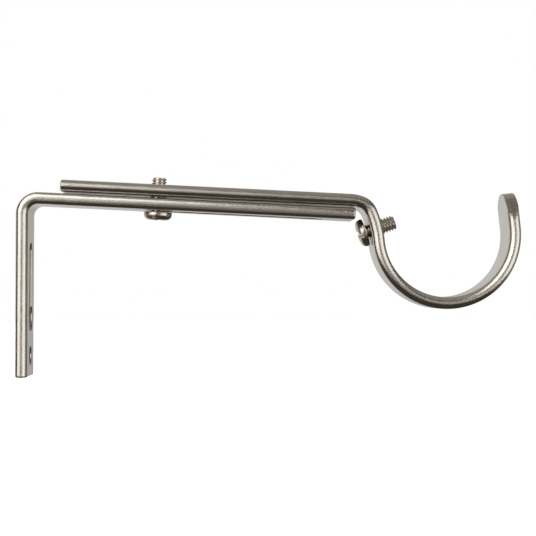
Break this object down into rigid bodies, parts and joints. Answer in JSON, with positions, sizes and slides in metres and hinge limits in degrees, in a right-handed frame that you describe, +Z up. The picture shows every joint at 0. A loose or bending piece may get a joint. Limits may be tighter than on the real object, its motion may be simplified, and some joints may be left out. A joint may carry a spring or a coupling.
{
  "type": "curtain rod bracket",
  "caption": "Adjustable curtain rod bracket: L-shaped wall bar with a slotted arm, sliding arm bent into an open round cup, clamp screw below and rod set screw through the neck.",
  "frame": {"origin": "on the wall leg's back face, on its centre line, midway between the lower screw hole and the keyhole's entry hole, 10 mm above the leg's lower end", "axes": "+X points out of the wall towards the rod cup, +Y runs along the curtain rod, +Z is up"},
  "size_m": [0.1337, 0.0158, 0.0533],
  "materials": {
    "satin_nickel": "nickel plate over rolled steel bar, satin on the faces and finely pitted on the rounded edges",
    "screw_nickel": "nickel plate, bright"
  },
  "bodies": {
    "wall_bracket": {"wall_bracket": "satin_nickel"},
    "rod_arm": {"rod_arm": "satin_nickel"},
    "lock_screw": {"lock_screw": "screw_nickel"},
    "rod_set_screw": {"rod_set_screw": "screw_nickel"}
  },
  "joints": [
    {"name": "projection_slide", "type": "slide", "parent": "wall_bracket", "child": "rod_arm", "axis": [0.999, 0, -0.0445], "range_m": [0, 0.042]},
    {"name": "lock_screw_turn", "type": "hinge", "parent": "rod_arm", "child": "lock_screw", "pos_m": [0.03715, 0, 0.03591], "axis": [0.0445, 0, 0.999], "range_deg": [-270, 0]},
    {"name": "set_screw_travel", "type": "slide", "parent": "rod_arm", "child": "rod_set_screw", "axis": [0.9444, 0, 0.3289], "range_m": [-0.004, 0]}
  ]
}
